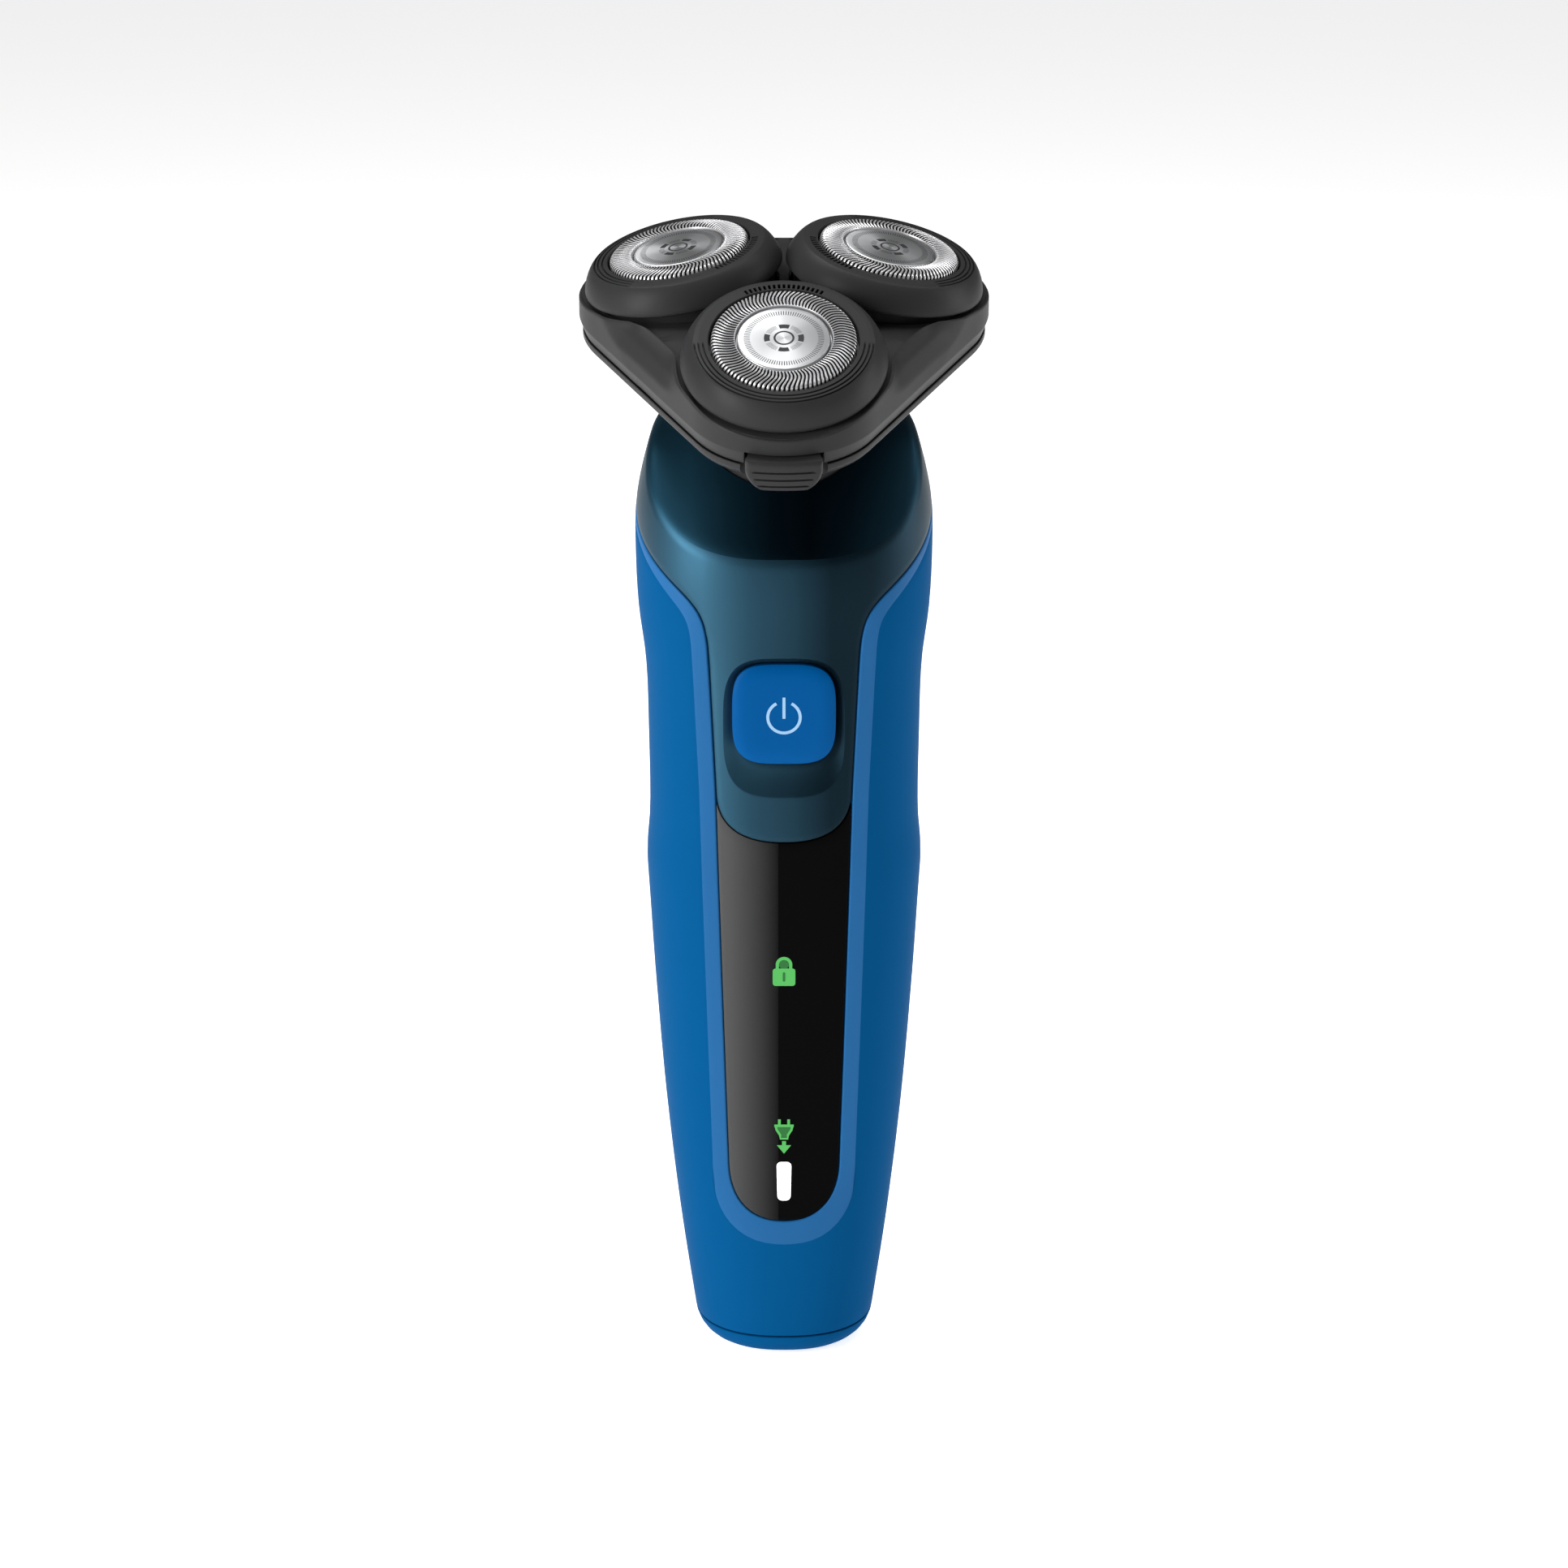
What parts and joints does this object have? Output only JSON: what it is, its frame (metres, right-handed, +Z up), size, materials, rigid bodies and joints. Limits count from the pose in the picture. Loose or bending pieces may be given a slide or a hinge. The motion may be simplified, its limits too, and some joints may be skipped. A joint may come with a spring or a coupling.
{
  "type": "rotary electric shaver",
  "caption": "Cordless rotary shaver: waisted handle with power button, lit display and charging socket, and a flip-open, pull-off unit with flexing shaving heads.",
  "frame": {"origin": "centre of the flat foot, on the surface the shaver stands on", "axes": "+Z up the handle, -Y the front with the button and display, +X to the right seen from behind the front"},
  "size_m": [0.0616, 0.059, 0.178],
  "materials": {
    "blue_shell": "satin",
    "front_shell": "metallic satin",
    "display_window": "polished",
    "button_blue": "satin",
    "frame_grey": "fine satin",
    "cap_steel": "brushed, slotted",
    "steel": "machined",
    "retainer_blue": "moulded",
    "gear_white": "moulded",
    "inner_plastic": "moulded",
    "seal_rubber": "soft",
    "board": "solder mask",
    "cell": "sleeved",
    "brass": "plated",
    "lock_light": "clear, lit",
    "battery_light": "clear, lit"
  },
  "bodies": {
    "handle": {"grip_shell": "blue_shell", "front_shell": "front_shell", "display_window": "display_window", "base_cap": "blue_shell", "base_seal": "seal_rubber", "chassis": "inner_plastic", "circuit_board": "board", "power_switch": "inner_plastic", "lock_light_guide": "lock_light", "plug_light_guide": "lock_light", "battery_light_guide": "battery_light", "battery_cell": "cell", "battery_contact_top": "brass", "battery_contact_bottom": "brass", "charge_socket": "inner_plastic", "socket_pin_left": "brass", "socket_pin_right": "brass", "motor_can": "steel", "motor_end_cap": "inner_plastic", "neck_collar": "inner_plastic", "shaft_seal": "seal_rubber", "motor_screw_left": "steel", "motor_screw_right": "steel"},
    "drive_shaft": {"motor_shaft": "steel"},
    "power_button": {"power_button": "button_blue"},
    "unit_base": {"hair_chamber": "frame_grey", "gear_cover": "inner_plastic", "hinge_pin": "steel", "cover_screw_1": "steel", "cover_screw_2": "steel", "cover_screw_3": "steel"},
    "release_button": {"release_button": "frame_grey"},
    "centre_gear": {"centre_gear": "gear_white"},
    "frame": {"head_frame": "frame_grey"},
    "drive_gear_1": {"drive_gear_1": "gear_white"},
    "head_1": {"head_ring_1": "frame_grey", "cap_1": "cap_steel", "cap_disc_1": "cap_steel", "retaining_ring_1": "retainer_blue"},
    "cutter_1": {"cutter_1": "steel"},
    "drive_gear_2": {"drive_gear_2": "gear_white"},
    "head_2": {"head_ring_2": "frame_grey", "cap_2": "cap_steel", "cap_disc_2": "cap_steel", "retaining_ring_2": "retainer_blue"},
    "cutter_2": {"cutter_2": "steel"},
    "drive_gear_3": {"drive_gear_3": "gear_white"},
    "head_3": {"head_ring_3": "frame_grey", "cap_3": "cap_steel", "cap_disc_3": "cap_steel", "retaining_ring_3": "retainer_blue"},
    "cutter_3": {"cutter_3": "steel"}
  },
  "joints": [
    {"name": "motor_spin", "type": "hinge", "parent": "handle", "child": "drive_shaft", "pos_m": [0, -0.00113, 0.1513], "axis": [0, -0.3123, 0.95], "continuous": true},
    {"name": "button_press", "type": "slide", "parent": "handle", "child": "power_button", "axis": [0, 1, 0], "range_m": [0, 0.0008], "stiffness_N_per_m": 900, "springref_m": -0.0006},
    {"name": "unit_pull", "type": "slide", "parent": "handle", "child": "unit_base", "axis": [0, -0.3123, 0.95], "range_m": [0, 0.02]},
    {"name": "release_press", "type": "slide", "parent": "unit_base", "child": "release_button", "axis": [0, 0.95, 0.3123], "range_m": [0, 0.0015], "stiffness_N_per_m": 700, "springref_m": -0.0006},
    {"name": "centre_gear_spin", "type": "hinge", "parent": "unit_base", "child": "centre_gear", "pos_m": [0, -0.00331, 0.15795], "axis": [0, -0.3123, 0.95], "continuous": true},
    {"name": "frame_open", "type": "hinge", "parent": "unit_base", "child": "frame", "pos_m": [0, 0.01962, 0.16696], "axis": [-1, 0, 0], "range_deg": [0, 100]},
    {"name": "drive_gear_spin_1", "type": "hinge", "parent": "unit_base", "child": "drive_gear_1", "pos_m": [0, -0.01928, 0.1527], "axis": [0, -0.3123, 0.95], "continuous": true},
    {"name": "head_flex_1", "type": "hinge", "parent": "frame", "child": "head_1", "pos_m": [0, -0.03589, 0.15792], "axis": [-1, 0, 0], "range_deg": [0, 4], "stiffness_Nm_per_rad": 0.2, "springref_deg": -1.72},
    {"name": "cutter_spin_1", "type": "hinge", "parent": "head_1", "child": "cutter_1", "pos_m": [0, -0.02376, 0.16393], "axis": [0, -0.509, 0.8607], "continuous": true},
    {"name": "drive_gear_spin_2", "type": "hinge", "parent": "unit_base", "child": "drive_gear_2", "pos_m": [0.01455, 0.00466, 0.16057], "axis": [0, -0.3123, 0.95], "continuous": true},
    {"name": "head_flex_2", "type": "hinge", "parent": "frame", "child": "head_2", "pos_m": [0.02681, 0.00822, 0.17242], "axis": [0.5, -0.8227, -0.2705], "range_deg": [0, 4], "stiffness_Nm_per_rad": 0.2, "springref_deg": -1.72},
    {"name": "cutter_spin_2", "type": "hinge", "parent": "head_2", "child": "cutter_2", "pos_m": [0.0152, 0.00125, 0.17216], "axis": [0.186, -0.2031, 0.9613], "continuous": true},
    {"name": "drive_gear_spin_3", "type": "hinge", "parent": "unit_base", "child": "drive_gear_3", "pos_m": [-0.01455, 0.00466, 0.16057], "axis": [0, -0.3123, 0.95], "continuous": true},
    {"name": "head_flex_3", "type": "hinge", "parent": "frame", "child": "head_3", "pos_m": [-0.02681, 0.00822, 0.17242], "axis": [0.5, 0.8227, 0.2705], "range_deg": [0, 4], "stiffness_Nm_per_rad": 0.2, "springref_deg": -1.72},
    {"name": "cutter_spin_3", "type": "hinge", "parent": "head_3", "child": "cutter_3", "pos_m": [-0.0152, 0.00125, 0.17216], "axis": [-0.186, -0.2031, 0.9613], "continuous": true}
  ],
  "couplings": [
    {"joint": "centre_gear_spin", "follows": "motor_spin", "ratio": 1},
    {"joint": "drive_gear_spin_1", "follows": "motor_spin", "ratio": -1},
    {"joint": "cutter_spin_1", "follows": "motor_spin", "ratio": -1},
    {"joint": "drive_gear_spin_2", "follows": "motor_spin", "ratio": -1},
    {"joint": "cutter_spin_2", "follows": "motor_spin", "ratio": -1},
    {"joint": "drive_gear_spin_3", "follows": "motor_spin", "ratio": -1},
    {"joint": "cutter_spin_3", "follows": "motor_spin", "ratio": -1}
  ]
}
